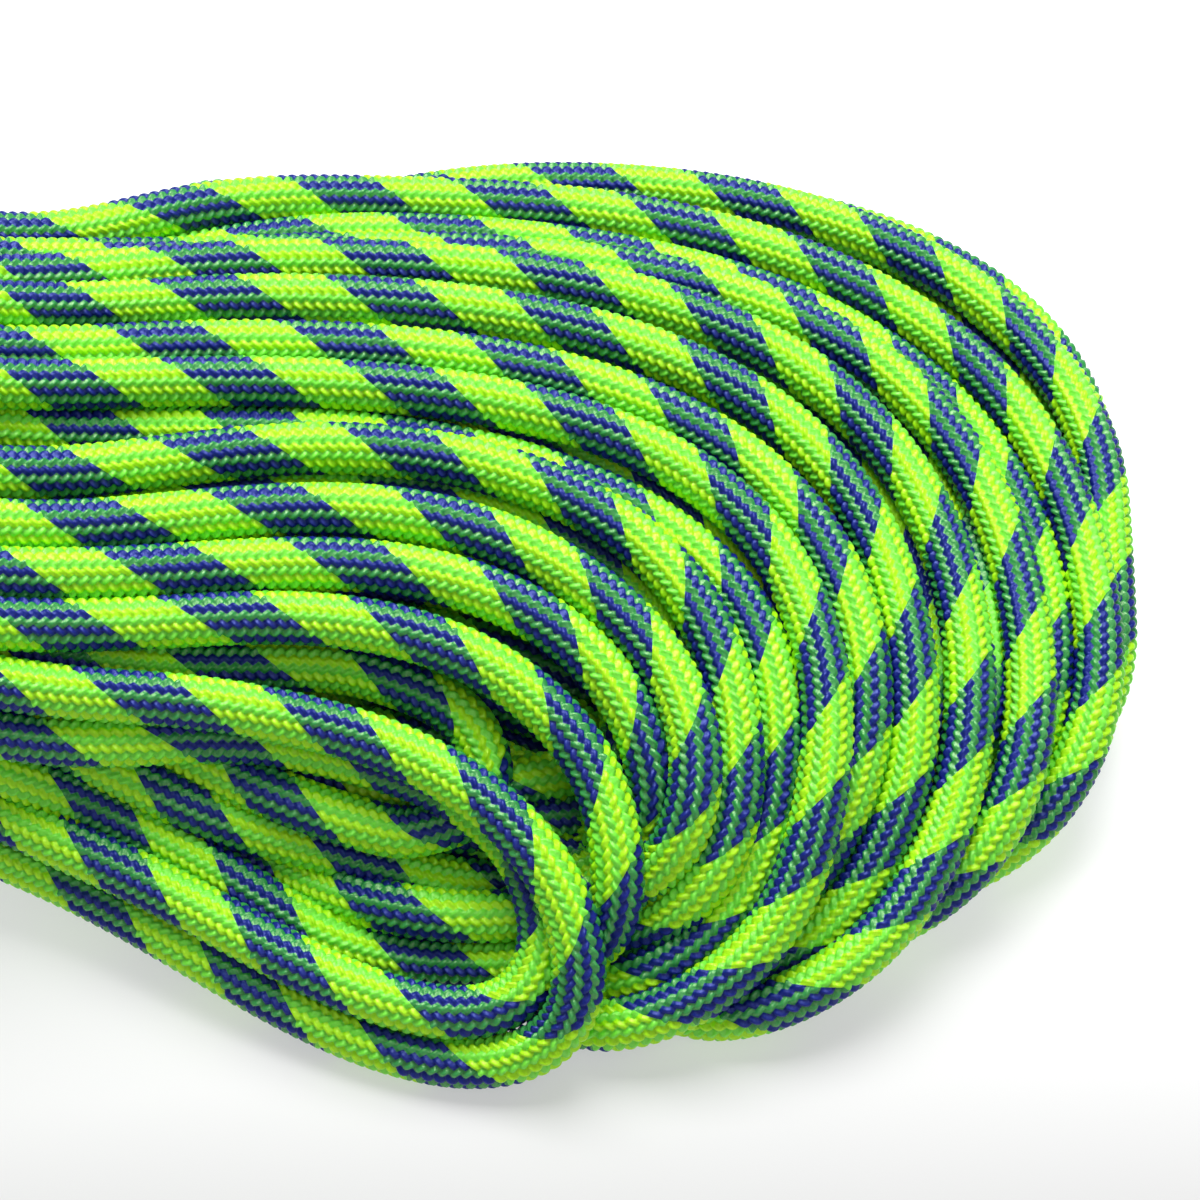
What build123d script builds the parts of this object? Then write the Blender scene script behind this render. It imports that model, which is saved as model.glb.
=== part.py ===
from build123d import *

import math
import os

# A hank of soft kernmantle utility cord: a braided sheath over seven core strands. The cord is
# wound lengthwise into long turns that fan out at both ends, and its last metre is wrapped round
# the waist to hold them. Both ends of the cord come out of the wraps and are melted shut.
#
# Frame: +X along the hank, +Y across it, +Z up. The origin is on the floor under its middle.
# Every length is in millimetres.

# The cord
CORD_DIAMETER = 4.0
SHEATH_WALL = 0.6
CORE_STRANDS_ROUND = 6
CORE_GAP = 0.02
TIP_LENGTH = 3.2
TIP_ROUNDING = 1.2

# The hank
HANK_LENGTH = 240.0
LOBE_HALF_WIDTH = 43.0
LOBE_SWELLS_FROM = 26.0
LOBE_WIDEST_AT = 77.0
LOBE_TOP = 28.0
LOBE_END_TOP = 15.0
LOBE_END_BOTTOM = 3.0
LOBE_DOWN_BY = 40.0
LOBE_STATIONS = 14
WAIST_HALF_WIDTH = 22.0
WAIST_TOP = 40.0
WRAPS = 6
SECTION_ROUNDING = 0.44

# How the loose ends lie, from the wraps' left face down to the floor
END_TAIL = [
    (-12.0, -24.0, 22.0),
    (-23.0, -24.0, 22.0),
    (-33.0, -28.5, 16.0),
    (-42.0, -34.0, 8.0),
    (-53.0, -38.5, 2.0),
    (-66.0, -40.0, 2.0),
]
START_TAIL = [
    (-12.0, 24.0, 21.5),
    (-22.0, 24.0, 21.5),
    (-31.0, 28.0, 15.5),
    (-40.0, 33.5, 8.0),
    (-50.0, 38.5, 2.0),
    (-62.0, 40.0, 2.0),
]

ARC_SHARE = 0.45

CORD_RADIUS = CORD_DIAMETER / 2
CORE_RADIUS = CORD_RADIUS - SHEATH_WALL
STRAND_RADIUS = CORE_RADIUS / 3 - CORE_GAP
HALF_LENGTH = HANK_LENGTH / 2
HALF_WRAPS = WRAPS * CORD_DIAMETER / 2


def ease(share):
    """From 0 to 1, level at both ends."""
    share = min(max(share, 0.0), 1.0)
    return share * share * (3 - 2 * share)


def between(low, high, share):
    return low + (high - low) * share


def cross_section(x, half_width, bottom, top):
    """A rounded slab across the hank at x."""
    height = top - bottom
    middle = Plane(origin=(x, 0, (bottom + top) / 2), x_dir=(0, 1, 0), z_dir=(1, 0, 0))
    return middle * RectangleRounded(2 * half_width, height, SECTION_ROUNDING * height)


def lobe_section(away):
    """The bundle's section at a distance from the waist: round at the wraps, broad and flat in the lobe."""
    swell = ease((away - LOBE_SWELLS_FROM) / (LOBE_WIDEST_AT - LOBE_SWELLS_FROM))
    past = max(0.0, away - LOBE_WIDEST_AT) / (HALF_LENGTH - LOBE_WIDEST_AT)
    closing = math.sqrt(max(0.0, 1 - past * past))
    half_width = between(WAIST_HALF_WIDTH, LOBE_HALF_WIDTH, swell) * closing
    bottom = between(CORD_DIAMETER, 0.0, ease((away - HALF_WRAPS) / (LOBE_DOWN_BY - HALF_WRAPS)))
    bottom = bottom + LOBE_END_BOTTOM * (1 - closing)
    top = between(WAIST_TOP, LOBE_TOP, swell)
    top = between(LOBE_END_TOP, top, closing)
    return half_width, bottom, top


def lobe(side):
    """One fanned-out end of the hank, from the wraps' face to the tip of its longest turns."""
    last = HALF_LENGTH - 0.5
    faces = []
    for station in range(LOBE_STATIONS + 1):
        share = station / LOBE_STATIONS
        away = between(HALF_WRAPS, last, 1 - (1 - share) ** 1.4)
        faces.append(cross_section(side * away, *lobe_section(away)))
    if side < 0:
        faces.reverse()
    return loft(faces, ruled=True)


def hank_turns():
    """The outer shape of all the lengthwise turns, as one solid."""
    waist_face = cross_section(-HALF_WRAPS, WAIST_HALF_WIDTH, CORD_DIAMETER, WAIST_TOP)
    waist = extrude(waist_face, amount=2 * HALF_WRAPS, dir=(1, 0, 0))
    return lobe(-1) + waist + lobe(1)


def waist_wraps():
    """The outer shape of the wraps that tie the hank, fitting round its waist."""
    height = WAIST_TOP - CORD_DIAMETER
    inner = cross_section(-HALF_WRAPS, WAIST_HALF_WIDTH, CORD_DIAMETER, WAIST_TOP)
    middle = Plane(
        origin=(-HALF_WRAPS, 0, (CORD_DIAMETER + WAIST_TOP) / 2), x_dir=(0, 1, 0), z_dir=(1, 0, 0)
    )
    outer = middle * RectangleRounded(
        2 * (WAIST_HALF_WIDTH + CORD_DIAMETER),
        height + 2 * CORD_DIAMETER,
        SECTION_ROUNDING * height + CORD_DIAMETER,
    )
    return extrude(outer - inner, amount=2 * HALF_WRAPS, dir=(1, 0, 0))


def corner_radii(points):
    """The largest arc that the runs beside each corner leave room for."""
    corners = [Vector(*point) for point in points]
    radii = []
    for before, corner, after in zip(corners, corners[1:], corners[2:]):
        arriving, leaving = corner - before, after - corner
        half_turn = math.radians(arriving.get_angle(leaving) / 2)
        radii.append(ARC_SHARE * min(arriving.length, leaving.length) / math.tan(half_turn))
    return radii


def tail_pieces(name, points):
    """A loose end of the cord: its sheath, the seven strands of its core and its melted tip."""
    radii = corner_radii(points)
    route = FilletPolyline(*points, radius=radii)
    print(name, "radii", [round(radius, 1) for radius in radii], "length", round(route.length, 1))
    start = Plane(origin=route @ 0, x_dir=(0, 0, 1), z_dir=route % 0)
    sheath_face = start * (Circle(CORD_RADIUS) - Circle(CORE_RADIUS))
    pieces = {f"{name}_sheath": sweep(sheath_face, path=route)}
    places = [(0.0, 0.0)]
    for strand in range(CORE_STRANDS_ROUND):
        angle = 2 * math.pi * strand / CORE_STRANDS_ROUND
        reach = 2 * (STRAND_RADIUS + CORE_GAP)
        places.append((reach * math.cos(angle), reach * math.sin(angle)))
    for number, place in enumerate(places, start=1):
        strand_face = start * Pos(*place) * Circle(STRAND_RADIUS)
        pieces[f"{name}_core_strand_{number}"] = sweep(strand_face, path=route)
    end = Plane(origin=route @ 1, x_dir=(0, 0, 1), z_dir=route % 1)
    slug = extrude(end * Circle(CORD_RADIUS), amount=TIP_LENGTH)
    far_edge = slug.edges().sort_by(lambda edge: (edge.center() - (route @ 1)).length)[-1]
    pieces[f"{name}_melted_tip"] = fillet(far_edge, radius=TIP_ROUNDING)
    swept = pieces[f"{name}_sheath"].volume
    expected = math.pi * (CORD_RADIUS**2 - CORE_RADIUS**2) * route.length
    print(name, "sheath volume over section times length", round(swept / expected, 4))
    return pieces


pieces = {"hank_turns": hank_turns(), "waist_wraps": waist_wraps()}
pieces.update(tail_pieces("start_tail", START_TAIL))
pieces.update(tail_pieces("end_tail", END_TAIL))

os.makedirs("parts", exist_ok=True)
for node, shape in pieces.items():
    export_step(shape, f"parts/{node}.step")
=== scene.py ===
import math

import bpy
import numpy as np
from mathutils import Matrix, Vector


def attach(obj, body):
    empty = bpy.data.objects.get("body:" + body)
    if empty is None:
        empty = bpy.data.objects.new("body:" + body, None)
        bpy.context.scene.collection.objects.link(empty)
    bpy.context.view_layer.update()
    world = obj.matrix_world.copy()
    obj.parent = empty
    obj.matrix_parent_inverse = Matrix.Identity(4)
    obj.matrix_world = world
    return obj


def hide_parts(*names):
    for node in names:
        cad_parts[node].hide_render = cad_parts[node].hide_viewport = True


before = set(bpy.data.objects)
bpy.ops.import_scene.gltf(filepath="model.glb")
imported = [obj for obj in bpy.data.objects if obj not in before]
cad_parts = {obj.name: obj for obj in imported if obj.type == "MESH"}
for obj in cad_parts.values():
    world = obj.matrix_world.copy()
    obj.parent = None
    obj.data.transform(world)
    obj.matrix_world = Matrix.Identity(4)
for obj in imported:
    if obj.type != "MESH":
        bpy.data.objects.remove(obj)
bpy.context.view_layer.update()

# A hank of 4 mm kernmantle cord, lime, green and blue. Lengths are in millimetres until the route
# is turned into metres for the spline. +X runs along the hank, +Y across it and +Z up.
MM = 0.001
CORD = 4.0
RADIUS = CORD / 2

# The waist, where the turns are packed side by side under the wraps
WAIST_EDGE = 13.0
MOUTH = 32.0
WAIST_HALF_WIDTH = 22.0
WAIST_LOW, WAIST_TOP = 4.0, 40.0
WAIST_MIDDLE = (WAIST_LOW + WAIST_TOP) / 2
WAIST_SQUARENESS = 2.7
# How far inside the wraps the turns' centre lines are packed, and are kept while settling
PACKED_INSET = 1.8
KEPT_INSET = 1.9
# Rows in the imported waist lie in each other's hollows, pressed together a little
HOLLOW_PITCH = CORD * math.sqrt(3) / 2 * 0.985
WRAPS = 6
# The wraps are laid with a little slack between them, from under the waist to the end tail's side
WRAPS_SLACK = 0.8
WRAPS_START = -0.46 * math.pi
WRAPS_END = -(2 * WRAPS - 1.1) * math.pi
POINTS_A_WRAP = 60

# The lobe: no turn reaches past these
LOBE_REACH = 119.5 - RADIUS + 0.5
LOBE_HALF_WIDTH = 43.0 - RADIUS + 1.0

# The turns lie in lanes that nest from the back of the hank to its front. Each lane says where its
# top turn crowns, how far out it reaches, and where its foot meets the floor, as x, y and z. Then
# come its far strand's y and z at the waist's mouth, and how many turns lie in it, one under the other.
LANES = [
    ((76, 42, 12), (118.5, 12, 9), (99, -15.5, 2.5), (23, 15), 3),
    ((72, 39.5, 15.5), (119.5, 1, 9.5), (97, -19.5, 3), (24, 18), 3),
    ((60, 34, 19), (116.5, -6, 10.5), (93, -24, 3), (24.5, 22.5), 4),
    ((52, 30, 19), (113, -10, 10), (86.5, -25.6, 2.2), (21.5, 20.5), 4),
    ((60, 26, 20.5), (111, -13.5, 11.5), (80, -28.6, 2.2), (20, 25), 4),
    ((50, 23.5, 22.5), (106, -15.5, 13.5), (81, -34.3, 3.4), (17.5, 26.5), 4),
    ((47, 18, 24), (101.5, -17, 15), (84, -31.5, 2.4), (12.5, 28), 4),
    ((48, 12, 25), (98, -18, 16.5), (84, -30.9, 4.5), (8, 28), 4),
    ((50, 7.5, 25.5), (95, -18.5, 17.5), (74, -34.4, 3.1), (4, 28), 4),
    ((45, 5, 23), (92, -20, 17), (77, -32.6, 3.8), (3.5, 25), 3),
    ((57, 1, 25.5), (88.5, -21, 18), (79, -32.1, 5.7), (-4.5, 28), 3),
    ((58, -5, 25.5), (84.5, -24.5, 17.5), (78, -29.5, 6.5), (-9.5, 28), 2),
    ((57, -9.5, 24.5), (83, -26.5, 15.5), (72, -25.5, 5.5), (-14, 27), 1),
    ((56, -13.5, 23), (80.5, -31, 13), (72.5, -30.8, 2.2), (-16, 25.5), 1),
    ((59, -14, 18), (77.5, -28, 10), (70, -25, 9), (-16, 21.5), 1),
    ((50, -19, 15.5), (75.5, -31, 8.5), (71, -37.5, 4.5), (-20.5, 19), 1),
    ((54, -19.5, 18.5), (77.5, -36.5, 9.8), (72, -39, 2), (-19.5, 23.5), 1),
]
# How square each lane's bend is from crown to reach: 2 is an ellipse
BEND_SQUARENESS = [2.3, 2.4, 2.4, 2.6, 2.7, 2.7, 2.7, 2.6, 2.5, 2.4, 2.2, 2.2, 2.2, 2.1, 2.0, 2.0, 1.8]
FOOT_SQUARENESS = 2.0
FAR_LOBE_SQUARENESS = 2.4
# Lanes before this one stand at the back edge, and their lower turns lie well forward of the top ones
BACK_LANES = 3
# Lanes from this one on are the loops at the front, which hardly give way
FIRST_FRONT_LANE = 12
# Where the near strand of a lane at the front meets the waist's mouth, as y and z
FRONT_NEAR = {
    11: (-14, 13), 12: (-17.5, 17), 13: (-19, 14.5),
    14: (-16.5, 19), 15: (-20.5, 11.5), 16: (-22, 7.5),
}
# How far a turn lies under the one above it, and what share of that at the waist's mouth
TURN_BELOW = 3.9
MOUTH_BELOW = 0.98
# Where the near strands of the other lanes are tucked on their way back over the floor
TUCK_X = 66.0
# Points along a turn's straight runs, its bends, its feet and its way through the waist
LEG_POINTS, BEND_POINTS, FOOT_POINTS, WAIST_POINTS = 26, 22, 18, 7
# The first turn starts inside the waist, and the hidden lobe's turns stray, each in its own way
FIRST_TURN_FROM = 5.0
STRAY_SEED = 7

# The loose ends, from the wraps to the floor: the same points as in the CAD model
END_TAIL = [
    (-12.0, -24.0, 22.0), (-23.0, -24.0, 22.0), (-33.0, -28.5, 16.0),
    (-42.0, -34.0, 8.0), (-53.0, -38.5, 2.0), (-66.0, -40.0, 2.0),
]
START_TAIL = [
    (-12.0, 24.0, 21.5), (-22.0, 24.0, 21.5), (-31.0, 28.0, 15.5),
    (-40.0, 33.5, 8.0), (-50.0, 38.5, 2.0), (-62.0, 40.0, 2.0),
]
TIP_LENGTH = 3.2
TIP_SHARE_OF_LINE = 0.7
TAIL_STEP = 1.0
TAIL_ROUNDING = 12
# The wraps hide where the cord goes in from the start tail, under the waist and out to the end tail
DIVE = [(-12.5, 21.3, 21.5), (-8.0, 20.0, 21.0)]
TURN_UNDER = [(17.0, 13.5, 2.4), (14.0, 12.6, 2.2), (12.0, 10.6, 2.0), (10.9, 7.8, 2.0)]
TURN_OUT = [(-11.3, -24.0, 23.6), (-12.6, -24.0, 22.6)]
START_TAIL_FROM = -15.5
END_TAIL_FROM = -15.0
LAST_TURN_ENDS = 21

# What a stretch of the route is: a lane of the near lobe from 0 up, a hidden turn, or held as it is
HIDDEN, HELD = -1, -2

# Settling the turns against each other: points along the cord, and how near two of them may come
STEP = 3.5
SPACING = 0.97 * CORD
SEARCH_REACH = 1.75 * CORD
SEARCH_EVERY = 5
NEIGHBOURS = 5
BESIDE = 0.62 * STEP
PUSH = 0.9
CROWDING = 0.5
BEND_PULL = 0.02
STIFFNESS = 0.35
ROUNDS = 120
TIGHTEST_BEND = 5.0
KINK_ROUNDS = 40
# How strongly a lane at the front, another seen lane and a hidden turn are held to their targets
FIRST_HOLD = (0.2, 0.10, 0.05)
LAST_HOLD = (0.1, 0.04, 0.02)
# How easily each of them gives way
GIVES_WAY = (0.01, 0.03, 1.0)

# The braid: sixteen columns round the cord, with a float of yarn every pitch along each of them
COLUMNS = 16
LEAD = 13.8
PITCH = LEAD / COLUMNS
VALLEY = 0.46
PILLOW_FULLNESS = 0.6
PILLOW_TOP = RADIUS + 0.05
PLAIN_RADIUS = RADIUS - 0.1


def turn_lane(lane, depth):
    """Where one turn goes: its crown, reach, foot, both mouths and the tuck of its near strand."""
    crown, reach, foot, far = [np.array(place, float) for place in LANES[lane][:4]]
    down = TURN_BELOW * depth
    crown = crown + np.array([-depth, -0.5 * down if lane < BACK_LANES else -0.1 * down, -0.98 * down])
    if crown[2] < RADIUS:
        crown = np.array([crown[0], crown[1] - CORD, RADIUS])
    reach = reach + np.array([-1.4 * depth, 0.6 * down, -0.75 * down])
    if depth:
        foot = np.array([foot[0] - 2.0, foot[1] + 6.0 + TURN_BELOW * (depth - 1), 2.2])
    reach[2] = max(reach[2], RADIUS)
    tuck = None
    if lane in FRONT_NEAR:
        near = np.array(FRONT_NEAR[lane], float) + depth * np.array([3.5, -1.0])
    else:
        inward = min(FRONT_NEAR) - lane
        near = np.array([2.9 * inward - 17, RADIUS + CORD * depth])
        tuck = np.array([TUCK_X, 3.5 * inward - 22, RADIUS + 3.8 * depth])
    far = far + np.array([0.0, -MOUTH_BELOW * down])
    return crown, reach, foot, near, far, tuck


def waist_places(mouths):
    """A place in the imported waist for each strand, in the order that they have at the mouth."""
    half_y, half_z = WAIST_HALF_WIDTH - PACKED_INSET, (WAIST_TOP - WAIST_LOW) / 2 - PACKED_INSET
    grid = []
    for column in range(-7, 8):
        for row in range(-7, 8):
            y, z = column * HOLLOW_PITCH, row * CORD + (RADIUS if column % 2 else 0)
            outness = abs(y / half_y) ** WAIST_SQUARENESS + abs(z / half_z) ** WAIST_SQUARENESS
            grid.append((outness, column, y, WAIST_MIDDLE + z))
    grid.sort()
    columns = {}
    for place in sorted(grid[: len(mouths)], key=lambda p: (p[1], p[3])):
        columns.setdefault(place[1], []).append(place)
    across = sorted(range(len(mouths)), key=lambda strand: mouths[strand][0])
    places, taken = [None] * len(mouths), 0
    for column in sorted(columns):
        size = len(columns[column])
        upward = sorted(across[taken:taken + size], key=lambda strand: mouths[strand][1])
        for strand, place in zip(upward, columns[column]):
            places[strand] = (place[2], place[3])
        taken += size
    return places


def leg(place, mouth, end, via=None):
    """A strand from the waist's edge to the end of its straight run, smooth through its mouth."""
    knots = [(WAIST_EDGE, *place), (MOUTH, *mouth)]
    if via is not None:
        knots.append(tuple(via))
    knots.append(tuple(end))
    knots = np.array(knots, float)
    slopes = np.zeros((len(knots), 2))
    for k in range(1, len(knots) - 1):
        slopes[k] = (knots[k + 1, 1:] - knots[k - 1, 1:]) / (knots[k + 1, 0] - knots[k - 1, 0])
    if via is not None:
        slopes[-1] = (knots[-1, 1:] - knots[-2, 1:]) / (knots[-1, 0] - knots[-2, 0])
    x = np.linspace(WAIST_EDGE, knots[-1, 0], LEG_POINTS, endpoint=False)
    k = np.minimum(np.searchsorted(knots[:, 0], x, side="right") - 1, len(knots) - 2)
    run = (knots[k + 1, 0] - knots[k, 0])[:, None]
    u = (x[:, None] - knots[k, 0][:, None]) / run
    across = (2 * u**3 - 3 * u**2 + 1) * knots[k, 1:] + (u**3 - 2 * u**2 + u) * slopes[k] * run
    across += (3 * u**2 - 2 * u**3) * knots[k + 1, 1:] + (u**3 - u**2) * slopes[k + 1] * run
    return np.column_stack([x, across])


def half_turn(side, far_place, near_place, places, squareness):
    """One end of a turn: out from the waist over the crown, round the reach and back by the foot."""
    crown, reach, foot, near, far, tuck = places
    t = np.linspace(0, math.pi / 2, BEND_POINTS, endpoint=False)
    out, fall = np.sin(t) ** (2 / squareness), np.cos(t) ** (2 / squareness)
    upper = np.column_stack([
        crown[0] + (reach[0] - crown[0]) * out,
        reach[1] + (crown[1] - reach[1]) * fall,
        reach[2] + (crown[2] - reach[2]) * fall,
    ])
    t = np.linspace(0, math.pi / 2, FOOT_POINTS, endpoint=False)
    out, fall = np.cos(t) ** (2 / FOOT_SQUARENESS), np.sin(t) ** (2 / FOOT_SQUARENESS)
    lower = np.column_stack([
        foot[0] + (reach[0] - foot[0]) * out,
        reach[1] + (foot[1] - reach[1]) * fall,
        reach[2] + (foot[2] - reach[2]) * fall,
    ])
    back = leg(near_place, near, foot, tuck)[::-1]
    points = np.concatenate([leg(far_place, far, crown), upper, lower, foot[None], back])
    return points * np.array([side, 1, 1])


def through_waist(place, start, end):
    """A straight run under the wraps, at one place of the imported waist."""
    x = np.linspace(start, end, WAIST_POINTS, endpoint=False)
    return np.column_stack([x, np.full(WAIST_POINTS, place[0]), np.full(WAIST_POINTS, place[1])])


def winding_order():
    """The lanes and depths that the cord fills in turn: the lowest turns first, back and forth."""
    order = []
    for depth in range(4, -1, -1):
        lanes = range(len(LANES) - 1, -1, -1) if depth % 2 == 0 else range(len(LANES))
        order += [(lane, depth) for lane in lanes if depth < LANES[lane][4]]
    return order


def wound_turns():
    """The turns' points, and of each the lane that it shows in the near lobe, or that it is hidden."""
    random = np.random.default_rng(STRAY_SEED)
    order = winding_order()
    turns = [turn_lane(*turn) for turn in order]
    mouths = []
    for turn in turns:
        mouths += [tuple(turn[4]), tuple(turn[3])]
    places = waist_places(mouths)
    points, lanes = [], []

    def add(stretch, lane):
        points.append(stretch)
        lanes.extend([lane] * len(stretch))

    for k, (lane, depth) in enumerate(order):
        far_place, near_place = places[2 * k], places[2 * k + 1]
        start = -WAIST_EDGE if k else FIRST_TURN_FROM
        add(through_waist(far_place, start, WAIST_EDGE), HIDDEN)
        seen = lane if depth == 0 else HIDDEN
        add(half_turn(1, far_place, near_place, turns[k], BEND_SQUARENESS[lane]), seen)
        if k + 1 == len(order):
            continue
        add(through_waist(near_place, WAIST_EDGE, -WAIST_EDGE), HIDDEN)
        stray = random.normal(0, 1, 6)
        this, after = turns[k], turns[k + 1]
        crown = after[0] + np.array([4 * stray[0], 1.2 * stray[1], 0])
        reach = (after[1] + this[1]) / 2 + np.array([2 * stray[2] - 3, 3 * stray[3], 0])
        foot = this[2] + np.array([3 * stray[4], 1.5 * stray[5], 0])
        bend = (crown, reach, foot, this[3], after[4], this[5])
        far_lobe = half_turn(-1, places[2 * k + 2], near_place, bend, FAR_LOBE_SQUARENESS)
        add(far_lobe[::-1], HIDDEN)
    return np.concatenate(points), np.array(lanes)


def waist_ring(angle):
    """A point on the wraps' centreline round the waist."""
    c, s = np.cos(angle), np.sin(angle)
    power = 2 / WAIST_SQUARENESS
    y = (WAIST_HALF_WIDTH + RADIUS) * np.sign(c) * np.abs(c) ** power
    z = WAIST_MIDDLE + ((WAIST_TOP - WAIST_LOW) / 2 + RADIUS) * np.sign(s) * np.abs(s) ** power
    return y, z


def wrapping():
    """The wraps, from under the back of the waist round it, and side by side towards -X."""
    angle = np.linspace(WRAPS_START, WRAPS_END, POINTS_A_WRAP * WRAPS)
    y, z = waist_ring(angle)
    half_run = CORD * (WRAPS - 1) / 2 + WRAPS_SLACK / 2
    x = np.linspace(half_run, -half_run, len(angle))
    return np.column_stack([x, y, z])


def resampled(points, step):
    """Even points along a line, with the number of the given point that each comes just before."""
    away = np.linalg.norm(np.diff(points, axis=0), axis=1)
    along = np.concatenate([[0], np.cumsum(away)])
    at = np.linspace(0, along[-1], int(round(along[-1] / step)) + 1)
    even = np.column_stack([np.interp(at, along, points[:, k]) for k in range(3)])
    return even, np.clip(np.searchsorted(along, at), 0, len(along) - 1)


def smoothed(points, times):
    for _ in range(times):
        points = points.copy()
        points[1:-1] = 0.25 * points[:-2] + 0.5 * points[1:-1] + 0.25 * points[2:]
    return points


def near_pairs(points, reach, gap):
    """Pairs of points closer than reach that aren't neighbours along the cord."""
    cell = np.floor(points / reach).astype(np.int64)
    cell -= cell.min(0)
    size = cell.max(0) + 3
    code = ((cell[:, 0] + 1) * size[1] + cell[:, 1] + 1) * size[2] + cell[:, 2] + 1
    order = np.argsort(code, kind="stable")
    ranked = code[order]
    first, second = [], []
    for dx in (-1, 0, 1):
        for dy in (-1, 0, 1):
            for dz in (-1, 0, 1):
                wanted = code + (dx * size[1] + dy) * size[2] + dz
                low = np.searchsorted(ranked, wanted, "left")
                count = np.searchsorted(ranked, wanted, "right") - low
                offset = np.arange(count.sum()) - np.repeat(np.cumsum(count) - count, count)
                first.append(np.repeat(np.arange(len(points)), count))
                second.append(order[np.repeat(low, count) + offset])
    first, second = np.concatenate(first), np.concatenate(second)
    apart = np.abs(first - second) > gap
    first, second = first[apart], second[apart]
    close = ((points[first] - points[second]) ** 2).sum(1) < reach * reach
    return first[close], second[close]


def kept_in_room(points, fixed):
    """Above the floor, inside the lobes, and inside the wraps at the waist."""
    points[:, 2] = np.maximum(points[:, 2], RADIUS)
    points[:, 1] = np.clip(points[:, 1], -LOBE_HALF_WIDTH, LOBE_HALF_WIDTH)
    points[:, 0] = np.clip(points[:, 0], -LOBE_REACH, LOBE_REACH)
    at_waist = (np.abs(points[:, 0]) < WAIST_EDGE) & ~fixed
    inside = points[at_waist]
    y = inside[:, 1] / (WAIST_HALF_WIDTH - KEPT_INSET)
    z = (inside[:, 2] - WAIST_MIDDLE) / ((WAIST_TOP - WAIST_LOW) / 2 - KEPT_INSET)
    outness = (np.abs(y) ** WAIST_SQUARENESS + np.abs(z) ** WAIST_SQUARENESS) ** (1 / WAIST_SQUARENESS)
    shrink = 1 / np.maximum(outness, 1)
    inside[:, 1] *= shrink
    inside[:, 2] = WAIST_MIDDLE + (inside[:, 2] - WAIST_MIDDLE) * shrink
    points[at_waist] = inside
    return points


def settled(points, target, hold, ease_of_moving, fixed, rounds):
    """Pushes overlapping strands apart, holding each near its target and keeping its bends smooth."""
    for turn in range(rounds):
        if turn % SEARCH_EVERY == 0:
            first, second = near_pairs(points, SEARCH_REACH, NEIGHBOURS)
        along = np.gradient(points, axis=0)
        along /= np.linalg.norm(along, axis=1)[:, None]
        gap = points[first] - points[second]
        lengthwise = (gap * along[second]).sum(1)
        sideways = gap - lengthwise[:, None] * along[second]
        distance = np.linalg.norm(sideways, axis=1)
        hit = (np.abs(lengthwise) < BESIDE) & (distance < SPACING)
        a, b, distance = first[hit], second[hit], distance[hit]
        away = sideways[hit] / np.maximum(distance, 1e-6)[:, None]
        push = away * (PUSH * (SPACING - distance))[:, None]
        share = (ease_of_moving[a] / (ease_of_moving[a] + ease_of_moving[b] + 1e-9))[:, None]
        move = np.zeros_like(points)
        count = np.bincount(a, minlength=len(points)) + np.bincount(b, minlength=len(points))
        for k in range(3):
            move[:, k] = np.bincount(a, (push * share)[:, k], minlength=len(points))
            move[:, k] -= np.bincount(b, (push * (1 - share))[:, k], minlength=len(points))
        moved = points + move / np.maximum(1, CROWDING * count)[:, None]
        moved += hold[:, None] * (target - moved)
        bend = np.zeros_like(moved)
        bend[1:-1] = 0.5 * (moved[:-2] + moved[2:]) - moved[1:-1]
        stiff = np.zeros_like(moved)
        stiff[1:-1] = 0.5 * (bend[:-2] + bend[2:]) - bend[1:-1]
        moved += BEND_PULL * bend - STIFFNESS * stiff
        moved = kept_in_room(moved, fixed)
        moved[fixed] = target[fixed]
        points = moved
    return points


def kinks_eased(points, fixed):
    """Smooths the few places where settling has bent the cord more tightly than it goes."""
    for _ in range(KINK_ROUNDS):
        run = np.diff(points, axis=0)
        length = np.linalg.norm(run, axis=1)
        heading = run / length[:, None]
        turn = np.arccos(np.clip((heading[1:] * heading[:-1]).sum(1), -1, 1))
        tight = np.zeros(len(points))
        tight[1:-1] = 0.5 * (length[1:] + length[:-1]) < TIGHTEST_BEND * turn
        near = (np.convolve(tight, np.ones(5), "same") > 0) & ~fixed
        near[[0, -1]] = False
        at = np.flatnonzero(near)
        points = points.copy()
        points[at] = 0.25 * points[at - 1] + 0.5 * points[at] + 0.25 * points[at + 1]
    return points


def rounded_tail(points):
    """The tail's points with their corners eased, as the CAD tube's arcs do, and out to the tip."""
    points = np.array(points, float)
    last = points[-1] - points[-2]
    end = points[-1] + last / np.linalg.norm(last) * TIP_LENGTH * TIP_SHARE_OF_LINE
    fine, _ = resampled(np.vstack([points, end]), TAIL_STEP)
    return smoothed(fine, TAIL_ROUNDING)


def by_kind(kind, values):
    """For each point, the value for lanes at the front, for other seen lanes or for hidden turns."""
    at_front, seen, hidden = values
    return np.where(kind >= FIRST_FRONT_LANE, at_front, np.where(kind >= 0, seen, hidden))


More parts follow.
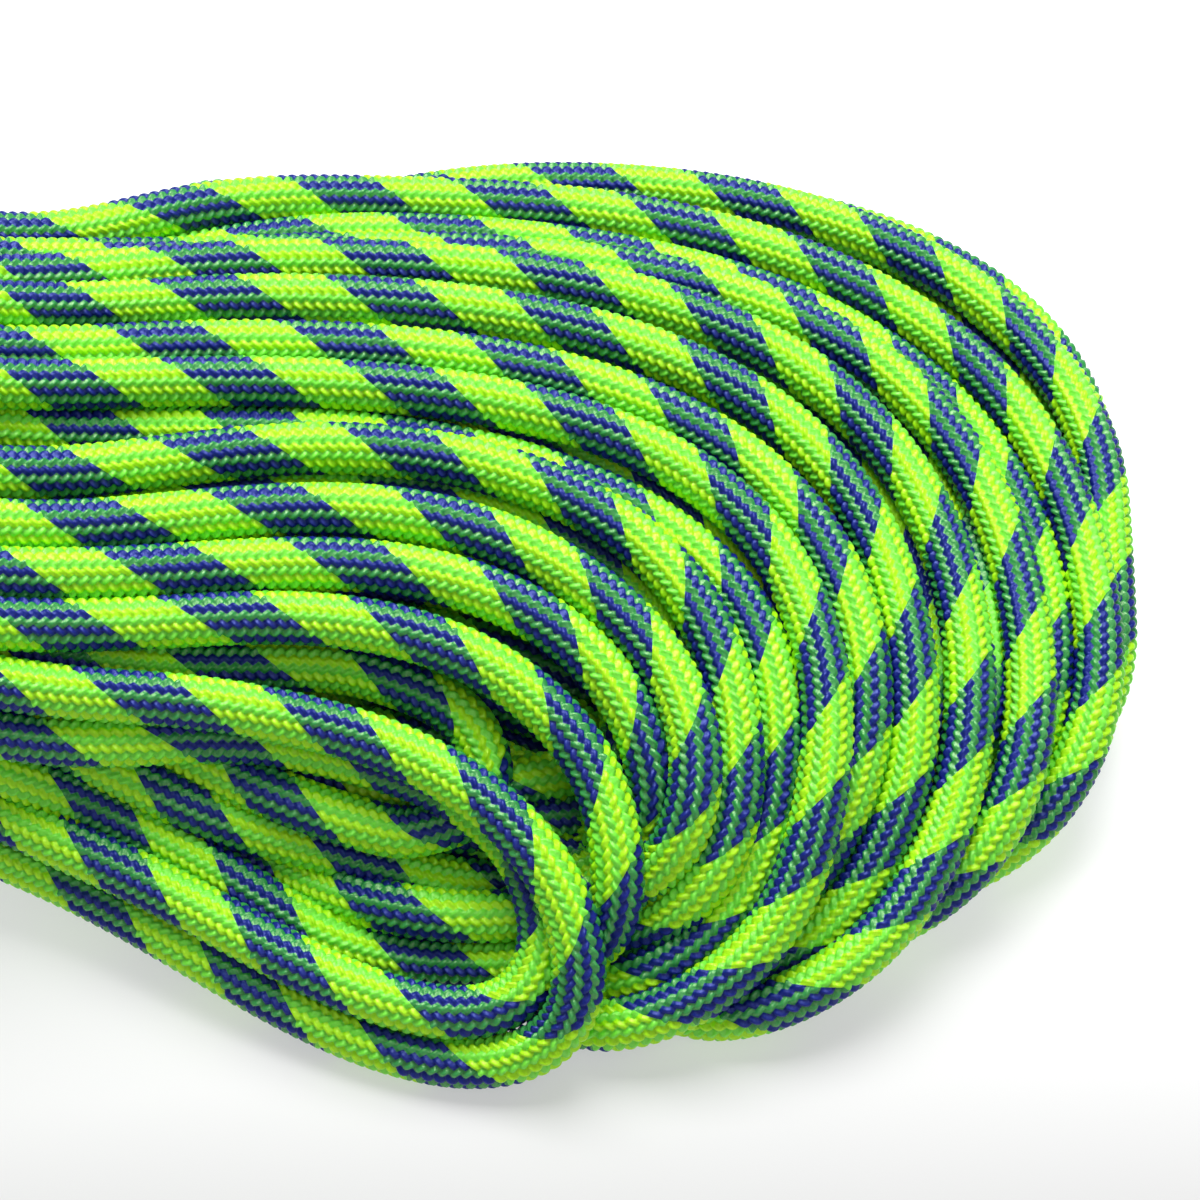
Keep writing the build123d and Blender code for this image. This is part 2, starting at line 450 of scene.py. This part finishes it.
def cord_route():
    """The whole cord's centreline, from its start tip to its end tip."""
    turns, lanes = wound_turns()
    while turns[-1, 0] < LAST_TURN_ENDS:
        turns, lanes = turns[:-1], lanes[:-1]
    start_tail = rounded_tail(START_TAIL)[::-1]
    end_tail = rounded_tail(END_TAIL)
    stretches = [
        (start_tail[start_tail[:, 0] < START_TAIL_FROM], HELD),
        (np.array(DIVE), HIDDEN),
        (turns, lanes),
        (np.array(TURN_UNDER), HELD),
        (wrapping(), HELD),
        (np.array(TURN_OUT), HELD),
        (end_tail[end_tail[:, 0] < END_TAIL_FROM], HELD),
    ]
    parts = [stretch for stretch, label in stretches]
    kinds = [np.broadcast_to(label, len(stretch)) for stretch, label in stretches]
    points, source = resampled(np.concatenate(parts), STEP)
    kind = np.concatenate(kinds)[source]
    target = smoothed(points, 2)
    fixed = kind == HELD
    moving = np.where(fixed, 0.0, by_kind(kind, GIVES_WAY))
    points = settled(target.copy(), target, by_kind(kind, FIRST_HOLD), moving, fixed, ROUNDS)
    points = settled(points, target, by_kind(kind, LAST_HOLD), moving, fixed, ROUNDS // 2)
    return kinks_eased(points, fixed)


def cord_spline(points):
    """The centreline as one open NURBS spline, in metres, and the points along it."""
    data = bpy.data.curves.new("cord_centreline", "CURVE")
    data.dimensions = "3D"
    data.resolution_u = 4
    spline = data.splines.new("NURBS")
    spline.points.add(len(points) - 1)
    spline.points.foreach_set("co", np.column_stack([points * MM, np.ones(len(points))]).ravel())
    spline.order_u = 3
    spline.use_endpoint_u = True
    holder = bpy.data.objects.new("cord_centreline", data)
    bpy.context.scene.collection.objects.link(holder)
    line = bpy.data.meshes.new_from_object(holder)
    along = np.empty(3 * len(line.vertices))
    line.vertices.foreach_get("co", along)
    bpy.data.objects.remove(holder)
    return along.reshape(-1, 3) / MM


class Centreline:
    """The cord's line with a frame that turns as little as it can, at any distance along it."""

    def __init__(self, points):
        keep = np.concatenate([[True], np.linalg.norm(np.diff(points, axis=0), axis=1) > 1e-4])
        self.points = points[keep]
        gaps = np.linalg.norm(np.diff(self.points, axis=0), axis=1)
        self.along = np.concatenate([[0], np.cumsum(gaps)])
        self.length = self.along[-1]
        tangent = np.gradient(self.points, axis=0)
        self.tangent = tangent / np.linalg.norm(tangent, axis=1)[:, None]
        side = np.cross(self.tangent[0], (0.0, 0.0, 1.0))
        side /= np.linalg.norm(side)
        sides = [side]
        for tangent in self.tangent[1:]:
            side = side - tangent * side.dot(tangent)
            side = side / math.sqrt(side.dot(side))
            sides.append(side)
        self.side = np.array(sides)
        self.up = np.cross(self.tangent, self.side)

    def at(self, distance):
        """The centre, the side and the up of the cord at each distance along it."""
        shape = distance.shape
        flat = np.clip(distance.ravel(), 0, self.length)
        found = []
        for values in (self.points, self.side, self.up):
            columns = [np.interp(flat, self.along, values[:, k]) for k in range(3)]
            found.append(np.stack(columns, 1).reshape(*shape, 3))
        return found

    def surface(self, distance, angle, radius):
        """Points round the cord, at each distance along it, angle and radius."""
        centre, side, up = self.at(distance)
        outward = np.cos(angle)[..., None] * side + np.sin(angle)[..., None] * up
        return centre + radius[..., None] * outward


# Each point covers the cells about it, out to its own radius
VIEW_CELL = 0.5
COVERED_CELLS = 3


def who_shows(points, azimuth, elevation):
    """Which of the points lie on top of the pile, looked at from far off in one direction."""
    a, e = math.radians(azimuth), math.radians(elevation)
    back = np.array([math.sin(a) * math.cos(e), -math.cos(a) * math.cos(e), math.sin(e)])
    right = np.array([math.cos(a), math.sin(a), 0.0])
    up = np.cross(back, right)
    reach = COVERED_CELLS
    column = np.round((points @ right) / VIEW_CELL).astype(int)
    row = np.round((points @ up) / VIEW_CELL).astype(int)
    column += reach - column.min()
    row += reach - row.min()
    depth = points @ back
    nearest = np.full((column.max() + reach + 1, row.max() + reach + 1), -1)
    order = np.argsort(depth)
    for dx in range(-reach, reach + 1):
        for dy in range(-reach, reach + 1):
            if dx * dx + dy * dy > reach * reach + 1:
                continue
            layer = np.full(nearest.shape, -1)
            layer[column[order] + dx, row[order] + dy] = order
            better = (layer >= 0) & ((nearest < 0) | (depth[layer] > depth[nearest]))
            nearest[better] = layer[better]
    shows = np.zeros(len(points), bool)
    shows[nearest[nearest >= 0]] = True
    return shows


# How finely the braid is made, block by block: as many of the other views as see a block, at most
# SHOWN, and CLOSE_UP where the camera sees it in the near lobe
CAMERA_ELEVATION = 50.0
OTHER_VIEWS = [
    (0, 5), (0, 90), (60, 25), (120, 25), (180, 5),
    (180, 50), (240, 25), (300, 25), (90, 3), (270, 3),
]
ROWS_A_BLOCK = 8
BURIED, GLIMPSED, SHOWN, CLOSE_UP = 0, 1, 2, 3
CLOSE_UP_FROM = MOUTH - 5.0


def block_details(line):
    """How finely each block of the braid is made: finest where it faces the camera."""
    block = ROWS_A_BLOCK * PITCH
    count = int(line.length // block)
    number = np.minimum((line.along // block).astype(int), count - 1)
    views = np.zeros(count, int)
    for azimuth, elevation in OTHER_VIEWS:
        views[np.unique(number[who_shows(line.points, azimuth, elevation)])] += 1
    detail = np.minimum(views, SHOWN)
    close = who_shows(line.points, 0, CAMERA_ELEVATION)
    detail[number[close]] = SHOWN
    close &= line.points[:, 0] > CLOSE_UP_FROM
    detail[number[close]] = CLOSE_UP
    return detail


# The green yarn comes in two painted-light copies: one lighter with painted bounce light from the lime
# floats round it, one darker with painted shade among the blue floats.
BLUE, LIME, GREEN_WITH_PAINTED_BOUNCE, GREEN_WITH_PAINTED_SHADE = 0, 1, 2, 3


def braid_stretch(line, first_row, last_row, detail):
    """The braid between two rows of floats: its points, its quads and the yarn of each quad.

    Yarns that climb one way round the cord cross those that climb the other way. Each floats over
    two crossings and dives under two, so the floats stand in columns along the cord. The sheath is
    a lattice of those crossings, and each crossing has cells by cells quads.
    """
    cells = max(detail, 1)
    coarse = 2 if detail == BURIED else 1
    columns, pitch = COLUMNS // coarse, PITCH * coarse
    around = columns * cells
    low, high = first_row * 2 * cells // coarse, last_row * 2 * cells // coarse
    r = np.arange(low - 1, high + 2)[:, None]
    c = 2 * np.arange(around)[None, :] + r % 2
    one_way, other_way = (r + c) // 2, (r - c) // 2
    crossing = (one_way // cells - other_way // cells) % 4
    first_on_top = crossing < 2
    one_share, other_share = (one_way % cells) / cells, (other_way % cells) / cells
    along = np.where(first_on_top, other_share + (crossing == 0), one_share + (crossing == 3)) / 2
    across = np.where(first_on_top, one_share, other_share)
    arch = np.sin(math.pi * along) ** PILLOW_FULLNESS
    pillow = arch * np.sqrt(np.maximum(0, 1 - (2 * across - 1) ** 2))
    radius = PILLOW_TOP - VALLEY * (1 - pillow)
    if cells == 1:
        radius = np.full(radius.shape, PLAIN_RADIUS)
    distance = np.broadcast_to(r / (2 * cells) * pitch, radius.shape)
    points = line.surface(distance, -math.pi * c / around, radius)
    k, i = np.arange(len(r) - 2)[:, None], np.arange(around)[None, :]
    odd = r[:-2] % 2
    quads = np.stack([
        k * around + i,
        (k + 1) * around + (i - 1 + odd) % around,
        (k + 2) * around + i,
        (k + 1) * around + (i + odd) % around,
    ], -1).reshape(-1, 4)
    blue = (one_way[:-2] // cells) % columns < columns // 2
    coloured = np.where(blue, BLUE, LIME)
    # Where the green yarn crosses a blue patch it takes its copy with painted shade, and in a lime
    # patch its copy with painted bounce light.
    green = np.where(blue, GREEN_WITH_PAINTED_SHADE, GREEN_WITH_PAINTED_BOUNCE)
    yarn = np.where(first_on_top[:-2], coloured, green)
    return points.reshape(-1, 3), quads, yarn.ravel()


# The sheath is cut into at most this many pieces, of much the same weight, under the wraps
SHEATH_PIECES = 18
CUT_WITHIN = 5
LEAST_WEIGHT = 0.25


def section_cuts(line, detail):
    """Blocks at which to cut the sheath into pieces: where it passes under the wraps."""
    block = ROWS_A_BLOCK * PITCH
    middle = np.array([line.at(np.array([(b + 0.5) * block]))[0][0] for b in range(len(detail))])
    under = np.flatnonzero((np.abs(middle[:, 0]) < CUT_WITHIN) & (detail == BURIED))
    weight = np.concatenate([[0], np.cumsum(detail.astype(float) ** 2 + LEAST_WEIGHT)])
    cuts = [0]
    for piece in range(1, SHEATH_PIECES):
        wanted = weight[-1] * piece / SHEATH_PIECES
        best = under[np.argmin(np.abs(weight[under] - wanted))]
        if best > cuts[-1]:
            cuts.append(int(best))
    return cuts + [len(detail)]


def mesh_object(name, points, faces, materials, choice=None):
    """A smooth mesh from points in millimetres, with each face's choice among the materials."""
    data = bpy.data.meshes.new(name)
    sides = faces.shape[1]
    data.vertices.add(len(points))
    data.vertices.foreach_set("co", (np.asarray(points, float) * MM).ravel())
    data.loops.add(faces.size)
    data.loops.foreach_set("vertex_index", faces.ravel().astype(np.int32))
    data.polygons.add(len(faces))
    data.polygons.foreach_set("loop_start", np.arange(0, faces.size, sides, dtype=np.int32))
    for material in materials:
        data.materials.append(material)
    if choice is not None:
        data.polygons.foreach_set("material_index", choice.astype(np.int32))
    data.update(calc_edges=True)
    data.shade_smooth()
    thing = bpy.data.objects.new(name, data)
    bpy.context.scene.collection.objects.link(thing)
    return thing


def sheath_pieces(line, materials):
    """The whole braided sheath, as pieces that meet under the wraps."""
    detail = block_details(line)
    cuts = section_cuts(line, detail)
    made = []
    for number, (first, last) in enumerate(zip(cuts, cuts[1:]), start=1):
        points, quads, yarns, count = [], [], [], 0
        start = first
        while start < last:
            end = start
            while end < last and detail[end] == detail[start]:
                end += 1
            last_row = end * ROWS_A_BLOCK if end < len(detail) else int(line.length // PITCH)
            stretch = braid_stretch(line, start * ROWS_A_BLOCK, last_row, int(detail[start]))
            points.append(stretch[0])
            quads.append(stretch[1] + count)
            yarns.append(stretch[2])
            count += len(stretch[0])
            start = end
        piece = mesh_object(
            f"cord_sheath_{number}", np.concatenate(points), np.concatenate(quads),
            materials, np.concatenate(yarns),
        )
        made.append(piece)
    print("sheath quads", sum(len(piece.data.polygons) for piece in made), "pieces", len(made))
    return made


STRANDS_ROUND = 6
STRAND_RADIUS = 0.5
STRAND_SIDES = 5
STRAND_TWIST = 40.0
CORE_INSET = 1.0


def core_strands(line, material):
    """The core's seven strands, laid round each other, as one long bundle."""
    distance = np.arange(CORE_INSET, line.length - CORE_INSET, STEP)
    turning = np.linspace(0, 2 * math.pi, STRAND_SIDES, endpoint=False)
    points, quads, count = [], [], 0
    centre, side, up = line.at(distance)
    for strand in range(STRANDS_ROUND + 1):
        away = 0.0 if strand == 0 else 2 * STRAND_RADIUS
        lay = 2 * math.pi * (strand / STRANDS_ROUND + distance / STRAND_TWIST)
        middle = centre + away * (np.cos(lay)[:, None] * side + np.sin(lay)[:, None] * up)
        ring = [middle + STRAND_RADIUS * (math.cos(t) * side + math.sin(t) * up) for t in turning]
        points.append(np.stack(ring, 1).reshape(-1, 3))
        k = np.arange(len(distance) - 1)[:, None] * STRAND_SIDES
        i = np.arange(STRAND_SIDES)[None, :]
        corner, beside = (k + i).ravel(), (k + (i + 1) % STRAND_SIDES).ravel()
        faces = np.column_stack([corner, beside, beside + STRAND_SIDES, corner + STRAND_SIDES])
        quads.append(faces + count)
        count += len(points[-1])
    return mesh_object("cord_core", np.concatenate(points), np.concatenate(quads), [material])


TIP_RINGS, TIP_SIDES = 18, 32
TIP_INWARD = 1.6
TIP_OUTWARD = 0.55 * RADIUS
TIP_RADIUS = RADIUS + 0.03
TIP_ROUNDED_SHARE = 0.45
TIP_BLUNTNESS = 2.4


def melted_tip(line, name, at_start, material):
    """A rounded cap of melted nylon, a little lumpy, over the cut end of the cord."""
    rings, sides = TIP_RINGS, TIP_SIDES
    share = np.linspace(0, 1, rings)
    from_end = -TIP_INWARD + (TIP_INWARD + TIP_OUTWARD) * share
    rounding = np.maximum(0, (share - (1 - TIP_ROUNDED_SHARE)) / TIP_ROUNDED_SHARE)
    profile = TIP_RADIUS * np.sqrt(np.maximum(0, 1 - rounding**TIP_BLUNTNESS))
    end = 0.0 if at_start else line.length
    outward = -1.0 if at_start else 1.0
    centre, side, up = [value[0] for value in line.at(np.array([end]))]
    tangent = line.tangent[0 if at_start else -1] * outward
    turning = np.linspace(0, 2 * math.pi, sides, endpoint=False)
    lumps = 1 + 0.025 * np.sin(3 * turning + 0.7) + 0.02 * np.sin(5 * turning + 2.1)
    points = []
    for away, radius in zip(from_end, profile):
        around = np.cos(turning)[:, None] * side + np.sin(turning)[:, None] * up
        points.append(centre + tangent * away + around * (radius * lumps)[:, None])
    points = np.concatenate(points)
    k = np.arange(rings - 1)[:, None] * sides
    i = np.arange(sides)[None, :]
    corner, beside = (k + i).ravel(), (k + (i + 1) % sides).ravel()
    faces = np.column_stack([corner, beside, beside + sides, corner + sides])
    if at_start:
        faces = faces[:, ::-1]
    return mesh_object(name, points, faces, [material])


def plain(name, colour, roughness, tint=(1, 1, 1), specular=0.5):
    """A plain material, with the colour and the strength of its highlights."""
    material = bpy.data.materials.new(name)
    material.use_nodes = True
    shader = material.node_tree.nodes["Principled BSDF"]
    shader.inputs["Base Color"].default_value = (*colour, 1)
    shader.inputs["Roughness"].default_value = roughness
    shader.inputs["Specular IOR Level"].default_value = specular
    shader.inputs["Specular Tint"].default_value = (*tint, 1)
    return material


GRAIN_DETAIL = 3.0
GRAIN_DISTORTION = 1.0
GRAIN_HEIGHT = 0.00012


def with_grain(material, scale, strength):
    """Adds a fine procedural relief: the filaments of a yarn, or the ripples of melted nylon."""
    nodes, links = material.node_tree.nodes, material.node_tree.links
    place = nodes.new("ShaderNodeTexCoord")
    grain = nodes.new("ShaderNodeTexNoise")
    grain.inputs["Scale"].default_value = scale
    grain.inputs["Detail"].default_value = GRAIN_DETAIL
    grain.inputs["Distortion"].default_value = GRAIN_DISTORTION
    bump = nodes.new("ShaderNodeBump")
    bump.inputs["Strength"].default_value = strength
    bump.inputs["Distance"].default_value = GRAIN_HEIGHT
    links.new(place.outputs["Object"], grain.inputs["Vector"])
    links.new(grain.outputs["Fac"], bump.inputs["Height"])
    links.new(bump.outputs["Normal"], nodes["Principled BSDF"].inputs["Normal"])
    return material


def braid_yarns():
    """The sheath's yarns, in the order of the yarn numbers: blue, lime, then the one green yarn twice,
    first lighter with painted bounce light from lime floats, then darker with painted shade beside blue
    floats.
    """
    yarns = [
        plain("blue_yarn", (0.006, 0.014, 0.2), 0.3, tint=(0.35, 0.45, 1), specular=0.8),
        plain("lime_yarn", (0.42, 0.9, 0.01), 0.3, tint=(1, 1, 0.45), specular=0.8),
        # The next two are one green yarn: lighter with painted bounce light among lime, darker with
        # painted shade among blue.
        plain("green_yarn_painted_bounce", (0.19, 0.8, 0.05), 0.3, tint=(0.85, 1, 0.6), specular=0.8),
        plain("green_yarn_painted_shade", (0.03, 0.3, 0.07), 0.27, tint=(0.8, 1, 0.6), specular=1.0),
    ]
    return [with_grain(yarn, 5200.0, 0.35) for yarn in yarns]


def core_nylon():
    return with_grain(plain("core_yarn", (0.85, 0.86, 0.8), 0.6), 3000.0, 0.5)


def melted_nylon():
    return with_grain(plain("melted_nylon", (0.02, 0.09, 0.03), 0.25), 900.0, 0.6)


# The camera looks down at the near lobe. Its view is this wide where it is aimed.
SENSOR_WIDTH = 36.0
CAMERA_AWAY = 300.0
VIEW_WIDTH = 92.4
CAMERA_AIM = (0.0782, -0.00275, 0.012)
SKY_STRENGTH = 0.28


def camera():
    """A long lens that looks down over the near lobe."""
    elevation = math.radians(CAMERA_ELEVATION)
    back = Vector((0, -math.cos(elevation), math.sin(elevation)))
    data = bpy.data.cameras.new("camera")
    data.lens = SENSOR_WIDTH * CAMERA_AWAY / VIEW_WIDTH
    data.clip_start = 0.01
    eye = bpy.data.objects.new("camera", data)
    eye.location = Vector(CAMERA_AIM) + back * (CAMERA_AWAY * MM)
    eye.rotation_mode = "QUATERNION"
    eye.rotation_quaternion = (-back).to_track_quat("-Z", "Y")
    bpy.context.scene.collection.objects.link(eye)
    bpy.context.scene.camera = eye


def softbox(name, place, aim, size, power):
    """A square lamp, in metres and watts."""
    light = bpy.data.lights.new(name, "AREA")
    light.shape = "SQUARE"
    light.size = size
    light.energy = power
    lamp = bpy.data.objects.new(name, light)
    lamp.location = place
    lamp.rotation_mode = "QUATERNION"
    lamp.rotation_quaternion = (Vector(aim) - Vector(place)).to_track_quat("-Z", "Y")
    bpy.context.scene.collection.objects.link(lamp)


def lights():
    """A white room, a big lamp behind the hank and a weak one in front of it."""
    bpy.context.scene.view_settings.view_transform = "Standard"
    world = bpy.data.worlds.new("studio")
    world.use_nodes = True
    sky = world.node_tree.nodes["Background"]
    sky.inputs["Color"].default_value = (1, 1, 1, 1)
    sky.inputs["Strength"].default_value = SKY_STRENGTH
    bpy.context.scene.world = world
    softbox("key", (0.06, 0.22, 0.62), (0.07, 0.0, 0), 0.46, 6.3)
    softbox("fill", (0.3, -0.45, 0.6), (0.05, 0, 0), 0.5, 1.0)


# The floor's painted shade and glow change from their front values to their back values between these,
# in metres along Y
FLOOR_FRONT, FLOOR_BACK = -0.06, 0.0
FLOOR_HALF_WIDTH = 3000.0


def floor():
    """A paper table with painted light, white behind the hank and greyer in front of it: its colour is
    painted darker towards the front as shade, and its glow, stronger behind, washes out the hank's cast
    shadow.
    """
    half = FLOOR_HALF_WIDTH
    corners = np.array([(-half, -half, 0), (half, -half, 0), (half, half, 0), (-half, half, 0)])
    paper = plain("paper", (0.5, 0.5, 0.5), 0.9)
    nodes, links = paper.node_tree.nodes, paper.node_tree.links
    place = nodes.new("ShaderNodeTexCoord")
    split = nodes.new("ShaderNodeSeparateXYZ")
    links.new(place.outputs["Object"], split.inputs[0])
    shader = nodes["Principled BSDF"]
    shader.inputs["Emission Color"].default_value = (1, 1, 1, 1)
    # Painted shade and painted light: the base colour darkens towards the front, and the emission,
    # stronger behind, paints light over the hank's cast shadow.
    for socket, in_front, behind in (("Base Color", 0.27, 0.5), ("Emission Strength", 0.3, 0.72)):
        depth = nodes.new("ShaderNodeMapRange")
        depth.inputs["From Min"].default_value = FLOOR_FRONT
        depth.inputs["From Max"].default_value = FLOOR_BACK
        depth.inputs["To Min"].default_value = in_front
        depth.inputs["To Max"].default_value = behind
        links.new(split.outputs["Y"], depth.inputs["Value"])
        links.new(depth.outputs["Result"], shader.inputs[socket])
    return mesh_object("floor", corners, np.array([[0, 1, 2, 3]]), [paper])


camera()
lights()
line = Centreline(cord_spline(cord_route()))
print("cord length", round(line.length / 1000, 3))

sheath = sheath_pieces(line, braid_yarns())
core = core_strands(line, core_nylon())
melted = melted_nylon()
tips = [
    melted_tip(line, "start_tip", True, melted),
    melted_tip(line, "end_tip", False, melted),
]

tails = ("start_tail", "end_tail")
core_nodes = [f"{tail}_core_strand_{number}" for tail in tails for number in range(1, 8)]
for piece in sheath:
    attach(piece, "root")
    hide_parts("hank_turns", "waist_wraps", "start_tail_sheath", "end_tail_sheath")
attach(core, "root")
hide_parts(*core_nodes)
for tip, tail in zip(tips, tails):
    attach(tip, "root")
    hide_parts(f"{tail}_melted_tip")
floor()
